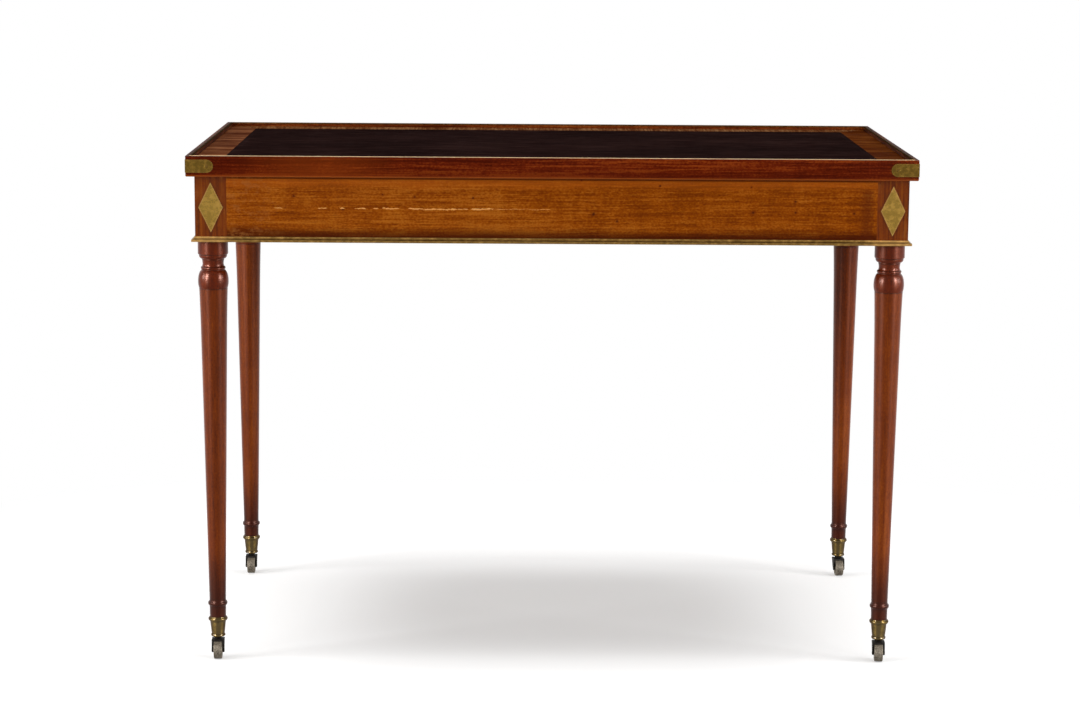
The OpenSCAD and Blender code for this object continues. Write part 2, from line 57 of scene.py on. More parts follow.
PHOTO_W_PX = 1080
FOCAL_PX = 2688.5
SENSOR_MM = 36.0
SIGHT_TO = 200
CAMERA_AT = Vector((-0.0542, -4.1637, 1.1323))
CAMERA_YAW = math.radians(0.56)
CAMERA_PITCH = math.radians(9.844)
CAMERA_ROLL = math.radians(0.41)


def make_camera():
    """A camera at the photograph's place, turned by its yaw, pitch and roll."""
    ahead = Vector((
        math.sin(CAMERA_YAW) * math.cos(CAMERA_PITCH),
        math.cos(CAMERA_YAW) * math.cos(CAMERA_PITCH),
        -math.sin(CAMERA_PITCH),
    ))
    right = Vector((math.cos(CAMERA_YAW), -math.sin(CAMERA_YAW), 0))
    up = right.cross(ahead)
    rolled_right = math.cos(CAMERA_ROLL) * right + math.sin(CAMERA_ROLL) * up
    rolled_up = math.cos(CAMERA_ROLL) * up - math.sin(CAMERA_ROLL) * right
    data = bpy.data.cameras.new("camera")
    data.sensor_fit = "HORIZONTAL"
    data.sensor_width = SENSOR_MM
    data.lens = SENSOR_MM * FOCAL_PX / PHOTO_W_PX
    data.clip_end = SIGHT_TO
    camera = bpy.data.objects.new("camera", data)
    axes = Matrix((rolled_right, rolled_up, -ahead)).transposed().to_4x4()
    camera.matrix_world = Matrix.Translation(CAMERA_AT) @ axes
    bpy.context.scene.collection.objects.link(camera)
    bpy.context.scene.camera = camera


# Node helpers

MIDDLE = 0.5
# A noise seldom leaves this range
USUAL = (0.3, 0.7)
# How far one seed moves a noise from the next
SEED_STEP = (7.31, 3.17, 5.73)


def linear(r, g, b):
    """A screen colour in the renderer's linear values, by the standard curve of screens."""
    def one(c):
        c /= 255
        return c / 12.92 if c <= 0.04045 else ((c + 0.055) / 1.055) ** 2.4
    return (one(r), one(g), one(b), 1.0)


class Nodes:
    """A node tree, with short calls for the nodes that a look is built from."""

    def __init__(self, tree):
        self.tree = tree

    def add(self, kind, inputs=(), **settings):
        made = self.tree.nodes.new(kind)
        for key, value in settings.items():
            setattr(made, key, value)
        for key, value in dict(inputs).items():
            self.put(made.inputs[key], value)
        return made

    def put(self, socket, value):
        if isinstance(value, bpy.types.NodeSocket):
            self.tree.links.new(value, socket)
        else:
            socket.default_value = value

    def place(self):
        """The point on the object, in the frame of the whole table."""
        return self.add("ShaderNodeTexCoord").outputs["Object"]

    def split(self, vector):
        return self.add("ShaderNodeSeparateXYZ", {0: vector}).outputs

    def join(self, x, y, z):
        return self.add("ShaderNodeCombineXYZ", {0: x, 1: y, 2: z}).outputs[0]

    def vector(self, operation, a, b):
        return self.add("ShaderNodeVectorMath", {0: a, 1: b}, operation=operation).outputs[0]

    def length(self, vector):
        return self.add("ShaderNodeVectorMath", {0: vector}, operation="LENGTH").outputs["Value"]

    def maths(self, operation, a, b=0.0, c=0.0):
        return self.add("ShaderNodeMath", {0: a, 1: b, 2: c}, operation=operation).outputs[0]

    def summed(self, first, *others):
        """The sum of textures, each given with its weight."""
        total = self.maths("MULTIPLY", *first)
        for texture, weight in others:
            total = self.maths("MULTIPLY_ADD", texture, weight, total)
        return total

    def apart(self, a, b):
        """How far one value lies from the other."""
        return self.maths("ABSOLUTE", self.maths("SUBTRACT", a, b))

    def centred(self, texture):
        """A texture about zero in place of about the middle."""
        return self.maths("SUBTRACT", texture, MIDDLE)

    def swayed(self, value, texture, share):
        """A value that a texture moves both up and down."""
        return self.maths("MULTIPLY_ADD", self.centred(texture), share, value)

    def noise(self, vector, waves, detail=2.0, rough=0.5, seed=0.0, warp=0.0):
        """A noise with so many waves per metre along each axis."""
        scaled = self.vector("MULTIPLY", vector, waves)
        moved = self.vector("ADD", scaled, tuple(seed * step for step in SEED_STEP))
        return self.add(
            "ShaderNodeTexNoise",
            {"Vector": moved, "Scale": 1.0, "Detail": detail, "Roughness": rough, "Distortion": warp},
        ).outputs["Fac"]

    def span(self, value, low, high, to_low=0.0, to_high=1.0, smooth=True):
        """Value from low to high, clamped, as to_low to to_high."""
        kind = "SMOOTHSTEP" if smooth else "LINEAR"
        return self.add(
            "ShaderNodeMapRange", {0: value, 1: low, 2: high, 3: to_low, 4: to_high}, interpolation_type=kind
        ).outputs[0]

    def fade(self, value, whole_to, gone_at, share=1.0):
        """The whole share up to one value, and nothing from the other on."""
        return self.span(value, whole_to, gone_at, share, 0.0)

    def ramp(self, value, at, tones):
        """Tones along a value, each pure at its own place."""
        made = self.add("ShaderNodeValToRGB", {0: value})
        elements = made.color_ramp.elements
        while len(elements) < len(tones):
            elements.new(MIDDLE)
        for element, position, tone in zip(elements, at, tones):
            element.position = position
            element.color = linear(*tone)
        return made.outputs[0]

    def tint(self, colour, share, tone, blend="MIX"):
        """A colour with a share of a tone over it."""
        made = self.add("ShaderNodeMix", data_type="RGBA", blend_type=blend)
        for key, value in ((0, share), (6, colour), (7, linear(*tone))):
            self.put(made.inputs[key], value)
        return made.outputs[2]

    def seen(self):
        """1 for what the camera, a reflection or glass shows, 0 for light that falls on things."""
        path = self.add("ShaderNodeLightPath").outputs
        mirrored = self.maths("MAXIMUM", path["Is Glossy Ray"], path["Is Transmission Ray"])
        return self.maths("MAXIMUM", path["Is Camera Ray"], mirrored)


class Shader(Nodes):
    """The nodes of one new material."""

    def __init__(self, name):
        self.material = bpy.data.materials.new(name)
        self.material.use_nodes = True
        super().__init__(self.material.node_tree)
        self.bsdf = self.tree.nodes["Principled BSDF"]

    def bump(self, height, distance, strength):
        return self.add(
            "ShaderNodeBump", {"Height": height, "Distance": distance, "Strength": strength}
        ).outputs[0]

    def rings(self, share):
        """Settings that draw glints out round a turned form."""
        return {"Anisotropic": share, "Tangent": self.join(0.0, 0.0, 1.0)}

    def finish(self, colour, rough, normal, **fixed):
        inputs = {"Base Color": colour, "Roughness": rough, "Normal": normal}
        inputs.update((key.replace("_", " "), value) for key, value in fixed.items())
        for key, value in inputs.items():
            self.put(self.bsdf.inputs[key], value)
        return self.material


# Wood

# Waves per metre of the textures in the wood, along the grain and twice across it
WANDER = (2.2, 5, 5)
BANDS = (1.1, 34, 34)
STREAKS = (2.4, 120, 120)
FIBRES = (10, 380, 380)
SPECKS = (300, 420, 420)
CLOUDS = (2.2, 5, 5)
RIBBON = (34, 9, 9)
PORES = (90, 1500, 1500)
# How far the grain wanders across itself
WANDER_REACH = (0, 0.012, 0.012)
# What the textures add to the tone
TONE_BASE = 0.12
BAND_SHARE = 0.42
STREAK_SHARE = 0.34
RIBBON_SHARE = 0.26
TONE_AT = (0.30, 0.50, 0.70)
PORE_RANGE = (0.60, 0.68)
PORE_DARKNESS = 0.4
# Relief of the surface, and how far the clouds change its gloss
FIBRE_RELIEF = 0.25
PORE_RELIEF = 0.8
WOOD_RELIEF = 0.00012
FLAT_BUMP = 0.4
TURNED_BUMP = 0.04
GLOSSIER = -0.05
DULLER = 0.07
STILE_GLOSSIER = -0.12
COAT_ROUGH = 0.2
# The tint of the polish, in the renderer's linear values
POLISH_TINT = (1.0, 0.42, 0.28, 1.0)


def grained(s, grain):
    """Coordinates whose first one runs along the grain, with a slow wander across it."""
    x, y, z = s.split(s.place())
    order = {"X": (x, y, z), "Y": (y, z, x), "Z": (z, x, y)}[grain]
    straight = s.join(*order)
    slow = s.vector("MULTIPLY", straight, WANDER)
    wander = s.add("ShaderNodeTexNoise", {"Vector": slow, "Scale": 1.0, "Detail": 1.0}).outputs["Color"]
    centred = s.vector("SUBTRACT", wander, (MIDDLE, MIDDLE, MIDDLE))
    return s.vector("ADD", straight, s.vector("MULTIPLY", centred, WANDER_REACH))


def shortened(waves, broken):
    """A texture's waves, that many times shorter along the grain."""
    along, *across = waves
    return (along * broken, *across)


def stile_only(s):
    """1 on the square tops of the legs, 0 on what is turned."""
    return s.maths("GREATER_THAN", s.split(s.place())[2], CASE_LOW)


def wood(name, grain, tones, rough=0.4, polish=0.15, coat=0.0, contrast=1.0, figure=0.5, seed=0.0, extra=(),
         turned=0.0, clouding=0.42, fine=0.24, broken=1.0, speckle=0.0):
    """Mahogany: bands, fibres and specks, short dark pores, and a slow change of tone."""
    s = Shader(name)
    v = grained(s, grain)
    bands = s.noise(v, shortened(BANDS, broken), detail=3, rough=0.55, seed=seed)
    streaks = s.noise(v, shortened(STREAKS, broken), detail=3, rough=0.6, seed=seed + 1)
    fibres = s.noise(v, shortened(FIBRES, broken), detail=2, rough=0.6, seed=seed + 2)
    clouds = s.noise(v, CLOUDS, detail=2, seed=seed + 3)
    ribbon = s.noise(v, RIBBON, detail=3, seed=seed + 4, warp=0.6)
    pores = s.span(s.noise(v, PORES, detail=1, seed=seed + 5), *PORE_RANGE)
    specks = s.noise(v, SPECKS, detail=1, seed=seed + 6)
    tone = s.maths("ADD", s.summed((streaks, STREAK_SHARE), (bands, BAND_SHARE)), TONE_BASE)
    shares = ((fibres, fine), (specks, speckle), (clouds, clouding), (ribbon, RIBBON_SHARE * figure))
    for texture, share in shares:
        tone = s.swayed(tone, texture, share)
    colour = s.ramp(s.swayed(MIDDLE, tone, contrast), TONE_AT, tones)
    colour = s.tint(colour, s.maths("MULTIPLY", pores, PORE_DARKNESS), tones[0], blend="MULTIPLY")
    for change in extra:
        colour = change(s, colour)
    hollows = s.maths("MULTIPLY", pores, PORE_RELIEF)
    relief = s.maths("SUBTRACT", s.maths("MULTIPLY", fibres, FIBRE_RELIEF), hollows)
    dull = s.span(clouds, *USUAL, rough + GLOSSIER, rough + DULLER)
    shine = {
        "Specular_IOR_Level": polish, "Specular_Tint": POLISH_TINT,
        "Coat_Weight": coat, "Coat_Roughness": COAT_ROUGH,
    }
    if turned:
        dull = s.maths("MULTIPLY_ADD", stile_only(s), STILE_GLOSSIER, dull)
        shine.update(s.rings(turned))
    normal = s.bump(relief, WOOD_RELIEF, TURNED_BUMP if turned else FLAT_BUMP)
    return s.finish(colour, dull, normal, **shine)


# Marks on the boards. A pair named FADE says where a mark starts to fade and where it is gone. A pair named
# RANGE says at which values of a texture a mark sets in and is whole.

# Dark dirt for knots, holes and joints, and also the painted shade in the joint under the rim
GRIME_AND_SHADE = (52, 22, 8)

# The darker red band, as heights above the lower edge of the case
LOW_EDGE_RED = (56, 12, 1)
LOW_EDGE_FADE = (0.003, 0.019)
LOW_EDGE_SHARE = 0.9
LOW_EDGE_RAGGED = 0.012


def darker_low_edge(s, colour):
    """Darker and redder along the bottom edge of the case."""
    ragged = s.noise(s.place(), (7, 7, 60), detail=2, seed=11)
    edge = s.maths("MULTIPLY_ADD", ragged, LOW_EDGE_RAGGED, CASE_LOW)
    height = s.maths("SUBTRACT", s.split(s.place())[2], edge)
    return s.tint(colour, s.fade(height, *LOW_EDGE_FADE, LOW_EDGE_SHARE), LOW_EDGE_RED)


# Painted light on a pale strip below the rim, against the rim's shadow, and a dark joint with the rim that
# is also painted shade under it, as depths below the upper edge of the case
UNDER_RIM_LIGHT = (196, 100, 22)
UNDER_RIM_LIGHT_FROM = 0.018
UNDER_RIM_LIGHT_TO = 0.003
UNDER_RIM_LIGHT_SHARE = 0.55
UNDER_RIM_LIGHT_UNEVEN = 0.012
RIM_JOINT_SHADE_FROM = 0.0040
RIM_JOINT_SHADE_TO = 0.0030
RIM_JOINT_SHADE_SHARE = 0.75


def painted_light_under_rim(s, colour):
    """The front board is painted paler just below the rim, as light against the rim's shadow, and dark in
    the joint with it, as painted shade under the rim.
    """
    z = s.split(s.place())[2]
    height = s.swayed(z, s.noise(s.place(), (14, 14, 60), detail=3, seed=23), UNDER_RIM_LIGHT_UNEVEN)
    painted_lift = s.span(height, CASE_HIGH - UNDER_RIM_LIGHT_FROM, CASE_HIGH - UNDER_RIM_LIGHT_TO, 0.0, UNDER_RIM_LIGHT_SHARE, smooth=False)
    joint = s.span(z, CASE_HIGH - RIM_JOINT_SHADE_FROM, CASE_HIGH - RIM_JOINT_SHADE_TO, 0.0, RIM_JOINT_SHADE_SHARE)
    return s.tint(s.tint(colour, painted_lift, UNDER_RIM_LIGHT), joint, GRIME_AND_SHADE)


# The front rail: its red shade in shares of its height, its patch as distances to each side of the patch's
# middle, and its pale line, worn and also a painted highlight on the rounded lower edge, as heights above
# its lower edge
RIM_RED = (66, 12, 1)
RIM_RED_FADE = (-0.1, 0.5)
RIM_RED_SHARE = 0.45
RIM_RED_UNEVEN = 0.3
RIM_PATCH = (136, 60, 14)
RIM_PATCH_X = -0.335
RIM_PATCH_FADE = (0.02, 0.14)
RIM_PATCH_SHARE = 0.3
RIM_EDGE_LIGHT = (166, 84, 32)
RIM_EDGE_LIGHT_FADE = (0.0012, 0.0030)
RIM_EDGE_LIGHT_SHARE = 0.6


def rim_shade(s, colour):
    """The rim's face is redder low down and paler in one place; its lower edge has a worn line that is also
    a painted highlight.
    """
    x, _, z = s.split(s.place())
    low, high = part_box("rim_rail_front")
    tall = high.z - low.z
    uneven = s.maths("MULTIPLY", s.noise(s.place(), (9, 9, 90), detail=3, seed=21), RIM_RED_UNEVEN * tall)
    red_fade = (low.z + share * tall for share in RIM_RED_FADE)
    colour = s.tint(colour, s.fade(s.maths("SUBTRACT", z, uneven), *red_fade, RIM_RED_SHARE), RIM_RED)
    colour = s.tint(colour, s.fade(s.apart(x, RIM_PATCH_X), *RIM_PATCH_FADE, RIM_PATCH_SHARE), RIM_PATCH)
    edge_light_fade = (low.z + height for height in RIM_EDGE_LIGHT_FADE)
    return s.tint(colour, s.fade(z, *edge_light_fade, RIM_EDGE_LIGHT_SHARE), RIM_EDGE_LIGHT)


# Knots in the front board: distance from the middle, height and radius
KNOTS = (
    (-0.3750, 0.6980, 0.0022), (-0.3040, 0.6787, 0.0018), (-0.2465, 0.7008, 0.0016),
    (-0.1996, 0.6975, 0.0016), (-0.1150, 0.6964, 0.0018), (0.0603, 0.6738, 0.0028),
    (0.0940, 0.6639, 0.0022), (0.2920, 0.6777, 0.0028), (0.3534, 0.6937, 0.0018),
    (0.3534, 0.6778, 0.0018), (0.1560, 0.7155, 0.0014), (0.2890, 0.7149, 0.0014),
    (0.0420, 0.7233, 0.0014), (0.4390, 0.6768, 0.0018),
)
HALO = (96, 34, 4)
HALO_SHARE = 0.45
CORE_SHARE = 0.8
# In shares of a knot's radius
HALO_FADE = (0.5, 2.4)
CORE_FADE = (0.3, 1.1)
KNOT_UNEVEN = 1.5


def wobble(s):
    """A fine unevenness, about zero, for the outlines of small marks."""
    return s.centred(s.noise(s.place(), (260, 260, 260), detail=2, seed=8))


def knots(s, colour):
    """Small dark knots, each in a redder halo."""
    x, _, z = s.split(s.place())
    uneven = wobble(s)
    for at_x, at_z, radius in KNOTS:
        away = s.length(s.join(s.maths("SUBTRACT", x, at_x), 0.0, s.maths("SUBTRACT", z, at_z)))
        away = s.maths("MULTIPLY_ADD", uneven, radius * KNOT_UNEVEN, away)
        for fade, share, tone in ((HALO_FADE, HALO_SHARE, HALO), (CORE_FADE, CORE_SHARE, GRIME_AND_SHADE)):
            colour = s.tint(colour, s.fade(away, *(radius * reach for reach in fade), share), tone)
    return colour


# Chips in the polish along one line of the front board: where each starts and ends, and its half height
CHIPS = (
    (-0.404, -0.391, 0.0004), (-0.340, -0.327, 0.0005), (-0.309, -0.301, 0.0007),
    (-0.287, -0.270, 0.0005), (-0.260, -0.252, 0.0005), (-0.247, -0.222, 0.0006),
    (-0.209, -0.138, 0.0007), (-0.138, -0.121, 0.0004), (-0.118, -0.085, 0.0008),
    (-0.088, -0.002, 0.00018),
)
CHIP = (224, 160, 84)
CHIP_SHARE = 0.85
CHIP_Z = 0.680
CHIP_WANDER = 0.006
# The ragged width of the chips, in shares of their half height
RAGGED_RANGE = (0.35, 0.62)
RAGGED_LEAST = 0.25
RAGGED_MOST = 1.8
# How far inside and past its ends a chip tapers
TAPER_INSIDE = 0.003
TAPER_PAST = 0.001


def chips(s, colour):
    """A broken, ragged line of chipped polish on the left half of the front board."""
    v = s.place()
    x, _, z = s.split(v)
    width = 0.0
    for start, end, half_height in CHIPS:
        half_length = (end - start) / 2
        off_middle = s.apart(x, (start + end) / 2)
        tapered = s.fade(off_middle, half_length - TAPER_INSIDE, half_length + TAPER_PAST, half_height)
        width = s.maths("MAXIMUM", width, tapered)
    torn = s.noise(v, (170, 1, 600), detail=3, rough=0.65, seed=12)
    ragged = s.span(torn, *RAGGED_RANGE, RAGGED_LEAST, RAGGED_MOST)
    line = s.swayed(CHIP_Z, s.noise(v, (70, 1, 1), detail=3, rough=0.6, seed=9), CHIP_WANDER)
    inside = s.maths("LESS_THAN", s.apart(z, line), s.maths("MULTIPLY", width, ragged))
    return s.tint(colour, s.maths("MULTIPLY", inside, CHIP_SHARE), CHIP)


# The dark patch: distances to each side of its middle, and the heights between which its top fades
DARK_PATCH = (74, 24, 6)
DARK_PATCH_X = 0.458
DARK_PATCH_FADE = (0.002, 0.014)
DARK_PATCH_TOP_FADE = (0.708, 0.716)
DARK_PATCH_SHARE = 0.6
DARK_PATCH_UNEVEN = 0.02


def dark_patch(s, colour):
    """A dark upright patch near the right end of the front board."""
    x, _, z = s.split(s.place())
    beside = s.apart(s.maths("MULTIPLY_ADD", wobble(s), DARK_PATCH_UNEVEN, x), DARK_PATCH_X)
    across = s.fade(beside, *DARK_PATCH_FADE, DARK_PATCH_SHARE)
    return s.tint(colour, s.maths("MULTIPLY", across, s.fade(z, *DARK_PATCH_TOP_FADE)), DARK_PATCH)


# Scuffs at the left end of the front board, with their fade as distances from the middle
BOARD_SCUFF = (166, 104, 50)
BOARD_SCUFF_FADE = (-0.469, -0.360)
BOARD_SCUFF_RANGE = (0.48, 0.66)
BOARD_SCUFF_SHARE = 0.35
# The dark joint of the front board with the stiles
END_JOINT = 0.0006
END_JOINT_SHARE = 0.7


def board_ends(s, colour):
    """Pale scuffs at the left end of the front board, and dark joints at both of its ends."""
    v = s.place()
    x = s.split(v)[0]
    worn = s.noise(v, (90, 1, 130), detail=4, rough=0.65, seed=17)
    scuffs = s.span(worn, *BOARD_SCUFF_RANGE, 0.0, BOARD_SCUFF_SHARE)
    colour = s.tint(colour, s.maths("MULTIPLY", s.fade(x, *BOARD_SCUFF_FADE), scuffs), BOARD_SCUFF)
    joint = s.span(s.maths("ABSOLUTE", x), CASE_END_X - END_JOINT, CASE_END_X, 0.0, END_JOINT_SHARE)
    return s.tint(colour, joint, GRIME_AND_SHADE)


# Places for worm holes per metre, a hole's size in shares of a place, and how rare a hole is
WORM_PLACES = 24.0
WORM_FADE = (0.018, 0.028)
WORM_RARE = 0.86


def worm_holes(s, colour):
    """A few small dark holes, at random places."""
    holes = s.add("ShaderNodeTexVoronoi", {"Vector": s.place(), "Scale": WORM_PLACES, "Randomness": 1.0})
    near = s.fade(holes.outputs["Distance"], *WORM_FADE)
    chosen = s.maths("GREATER_THAN", s.split(holes.outputs["Color"])[0], WORM_RARE)
    return s.tint(colour, s.maths("MULTIPLY", near, chosen), GRIME_AND_SHADE)


# Marks on the legs

LOZENGE_HALF_W = 0.01775
# Painted shade round the brass lozenges
LOZENGE_SHADE = (64, 20, 6)
# In the measure of a lozenge, which is 1 on its outline
LOZENGE_SHADE_FADE = (0.80, 1.0)
LOZENGE_SHADE_SHARE = 0.8
LOZENGE_SHADE_UNEVEN = 0.5


def lozenge_measure(s):
    """1 on the outline of the nearest lozenge, less inside it."""
    x, y, z = s.split(s.place())
    low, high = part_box("lozenge_plates")
    stile_low, stile_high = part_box("leg_front_left")
    up = s.maths("DIVIDE", s.apart(z, (high.z + low.z) / 2), (high.z - low.z) / 2)
    along_x = s.apart(s.maths("ABSOLUTE", x), -(stile_low.x + stile_high.x) / 2)
    along_y = s.apart(s.maths("ABSOLUTE", y), -(stile_low.y + stile_high.y) / 2)
    side = s.maths("DIVIDE", s.maths("MINIMUM", along_x, along_y), LOZENGE_HALF_W)
    return s.maths("ADD", side, up)


def lozenge_shade(s, colour):
    """Painted shade: dark wood round the brass lozenges, at the outlines of the raised plates."""
    uneven = s.maths("MULTIPLY", s.noise(s.place(), (60, 60, 60), detail=3, seed=14), LOZENGE_SHADE_UNEVEN)
    measure = s.maths("SUBTRACT", lozenge_measure(s), uneven)
    shade_halo = s.fade(measure, *LOZENGE_SHADE_FADE, LOZENGE_SHADE_SHARE)
    return s.tint(colour, s.maths("MULTIPLY", shade_halo, stile_only(s)), LOZENGE_SHADE)


# The turned part, as heights above the floor; a ring's fade is distances above and below its middle
FOOT_SHADE = (112, 66, 72)
FOOT_FADE = (0.085, 0.19)
FOOT_SHARE = 0.9
RING = (46, 12, 6)
RING_Z = 0.0838
RING_FADE = (0.004, 0.0075)
RING_SHARE = 0.8
TURNINGS_SHADE = (212, 168, 205)
TURNINGS_FROM = 0.556
TURNINGS_WHOLE_AT = 0.562
TURNINGS_SHARE = 0.9
# Heights of the fine steps in the turned legs, which are darker
STEPS = (0.0640, 0.0770, 0.0906, 0.5594, 0.5874, 0.5910, 0.6018, 0.6095, 0.6300)
STEP_DARK = (34, 10, 4)
STEP_FADE = (0.0, 0.0011)
STEP_SHARE = 0.75


def turned_shades(s, colour):
    """Darker and redder down to the caps, a dark ring there, redder turnings, and dark lines at the fine
    steps.
    """
    z = s.split(s.place())[2]
    colour = s.tint(colour, s.fade(z, *FOOT_FADE, FOOT_SHARE), FOOT_SHADE, blend="MULTIPLY")
    colour = s.tint(colour, s.fade(s.apart(z, RING_Z), *RING_FADE, RING_SHARE), RING)
    above = s.span(z, TURNINGS_FROM, TURNINGS_WHOLE_AT, 0.0, TURNINGS_SHARE)
    turnings = s.maths("MULTIPLY", above, s.maths("LESS_THAN", z, CASE_LOW))
    colour = s.tint(colour, turnings, TURNINGS_SHADE, blend="MULTIPLY")
    for step in STEPS:
        colour = s.tint(colour, s.fade(s.apart(z, step), *STEP_FADE, STEP_SHARE), STEP_DARK)
    return colour


# The stiles: their own tone, dark and pale streaks, and scuffs
STILE = (106, 46, 0)
STILE_SHARE = 0.5
DARK_STREAK = (54, 16, 2)
DARK_STREAK_RANGE = (0.50, 0.66)
DARK_STREAK_SHARE = 0.6
PALE_STREAK = (156, 86, 12)
PALE_STREAK_FADE = (0.34, 0.48)
PALE_STREAK_SHARE = 0.3
STILE_SCUFF = (148, 88, 40)
STILE_SCUFF_RANGE = (0.54, 0.68)
STILE_SCUFF_SHARE = 0.2


def stile_shades(s, colour):
    """The square tops of the legs are lighter and oranger, with upright streaks and pale scuffs."""
    stile = stile_only(s)
    streak = s.noise(s.place(), (300, 300, 8), detail=3, rough=0.6, seed=37)
    scuff = s.noise(s.place(), (70, 70, 34), detail=4, rough=0.65, seed=19)
    shades = (
        (STILE_SHARE, STILE),
        (s.span(streak, *DARK_STREAK_RANGE, 0.0, DARK_STREAK_SHARE), DARK_STREAK),
        (s.fade(streak, *PALE_STREAK_FADE, PALE_STREAK_SHARE), PALE_STREAK),
        (s.span(scuff, *STILE_SCUFF_RANGE, 0.0, STILE_SCUFF_SHARE), STILE_SCUFF),
    )
    for share, tone in shades:
        colour = s.tint(colour, s.maths("MULTIPLY", stile, share), tone)
    return colour


# Brass

# Waves per metre of the textures in the brass
PATINA = (150, 150, 150)
PITS = (420, 420, 420)
RUBS = (160, 160, 1400)
PIT_RANGE = (0.64, 0.74)
RUB_SHARE = 0.2
BRASS_AT = (0.25, 0.5, 0.75)
BRASS_DULLER = 0.1
BRASS_RELIEF = 0.0001
RUB_RELIEF = 0.3
BRASS_BUMP = 0.35
TURNED_BRASS_BUMP = 0.08
BRASS_COAT_ROUGH = 0.1


def brass(name, tones, rough=0.36, mottle=0.5, pitted=0.5, metallic=1.0, seed=0.0, edge=None,
          edge_share=0.0, glance=(1.0, 1.0, 1.0), coat=0.0, turned=0.0, extra=()):
    """Old brass: cloudy patina, small dark pits and fine rubbing marks; glance tints it seen edge on."""
    s = Shader(name)
    v = s.place()
    patina = s.noise(v, PATINA, detail=4, rough=0.65, seed=seed)
    pits = s.span(s.noise(v, PITS, detail=2, seed=seed + 1), *PIT_RANGE)
    rubbed = s.noise(v, RUBS, detail=2, seed=seed + 2)
    tone = s.swayed(s.swayed(MIDDLE, patina, mottle), rubbed, RUB_SHARE)
    colour = s.tint(s.ramp(tone, BRASS_AT, tones), s.maths("MULTIPLY", pits, pitted), tones[0])
    # A lighter outline: rubbed brass and a painted edge highlight
    if edge is not None:
        colour = s.tint(colour, s.maths("MULTIPLY", edge(s), edge_share), tones[2])
    for change in extra:
        colour = change(s, colour)
    dull = s.span(patina, *USUAL, rough + GLOSSIER, rough + BRASS_DULLER)
    relief = s.maths("ADD", patina, s.maths("MULTIPLY", rubbed, RUB_RELIEF))
    shine = {
        "Metallic": metallic, "Specular_Tint": (*glance, 1.0),
        "Coat_Weight": coat, "Coat_Roughness": BRASS_COAT_ROUGH,
    }
    if turned:
        shine.update(s.rings(turned))
    normal = s.bump(relief, BRASS_RELIEF, TURNED_BRASS_BUMP if turned else BRASS_BUMP)
    return s.finish(colour, dull, normal, **shine)


# The bright ends of the front moulding, as distances from its middle
BRIGHT_END = (142, 108, 60)
BRIGHT_END_FROM = 0.48
BRIGHT_END_WHOLE_AT = 0.52
BRIGHT_END_SHARE = 0.8
BRIGHT_END_UNEVEN = 0.06


def bright_ends(s, colour):
    """The mouldings are brighter towards both ends of the front."""
    x = s.maths("ABSOLUTE", s.split(s.place())[0])
    uneven = s.noise(s.place(), (40, 40, 40), detail=3, seed=27)
    reach = s.maths("MULTIPLY_ADD", uneven, BRIGHT_END_UNEVEN, x)
    share = s.span(reach, BRIGHT_END_FROM, BRIGHT_END_WHOLE_AT, 0.0, BRIGHT_END_SHARE)
    return s.tint(colour, share, BRIGHT_END)


# Widths of the rubbed outlines, which are also painted edge highlights: of a lozenge, in its measure, and of
# a corner strap
LOZENGE_EDGE = 0.11
STRAP_EDGE = 0.0018


def lozenge_edge_highlight(s):
    """The rubbed outline of a lozenge, which is also a painted edge highlight."""
    return s.span(lozenge_measure(s), 1 - LOZENGE_EDGE, 1 - LOZENGE_EDGE / 2)


def strap_edge_highlight(s):
    """The rubbed outline of a corner strap, whose end is round, which is also a painted edge highlight."""
    x, y, z = s.split(s.place())
    rim_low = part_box("rim_rail_front")[0]
    low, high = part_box("strap_front_left")
    half_h = (high.z - low.z) / 2
    from_x = s.maths("SUBTRACT", -rim_low.x, s.maths("ABSOLUTE", x))
    from_y = s.maths("SUBTRACT", -rim_low.y, s.maths("ABSOLUTE", y))
    along = s.maths("MAXIMUM", from_x, from_y)
    past = s.maths("MAXIMUM", s.maths("SUBTRACT", along, high.x - low.x - half_h), 0.0)
    away = s.length(s.join(past, 0.0, s.maths("SUBTRACT", z, (low.z + high.z) / 2)))
    return s.span(away, half_h - STRAP_EDGE, half_h - STRAP_EDGE / 2)


# Iron, leather, cloth and bone: the tones, from dark to light, and where each is pure. The waves per metre
# of a texture stand in its own line.

IRON = ((8, 6, 4), (26, 20, 14))
WHEEL = ((62, 55, 45), (106, 97, 84), (142, 132, 116))
WHEEL_AT = (0.3, 0.5, 0.72)
LEATHER = ((13, 4, 3), (22, 8, 7), (38, 22, 19))
LEATHER_AT = (0.38, 0.5, 0.62)
RUBBED_RANGE = (0.35, 0.65)
BAIZE = ((20, 52, 32), (34, 78, 50), (56, 100, 66))
BAIZE_AT = (0.35, 0.5, 0.66)
BONE = ((206, 192, 158), (236, 226, 200))
GREEN_BONE = ((26, 62, 38), (52, 96, 60))
FLECK_RANGE = (0.66, 0.74)
FLECK_DARKNESS = 0.4


def iron(name):
    """Blackened iron with a fine scale."""
    s = Shader(name)
    scale = s.noise(s.place(), (500, 500, 500), detail=3, rough=0.6)
    dull = s.span(scale, *USUAL, to_low=0.45, to_high=0.6)
    normal = s.bump(scale, distance=0.0002, strength=0.5)
    return s.finish(s.ramp(scale, USUAL, IRON), dull, normal, Metallic=0.1, Specular_IOR_Level=0.08)


def worn_wheel(name):
    """Grey worn brass with a speckled tread."""
    s = Shader(name)
    v = s.place()
    speckle = s.noise(v, (620, 620, 620), detail=2, rough=0.7)
    clouds = s.noise(v, (120, 120, 120), detail=2, seed=3)
    colour = s.ramp(s.swayed(speckle, clouds, share=0.5), WHEEL_AT, WHEEL)
    normal = s.bump(speckle, distance=0.0003, strength=0.6)
    return s.finish(colour, rough=0.55, normal=normal, Metallic=0.3, Specular_IOR_Level=0.2)


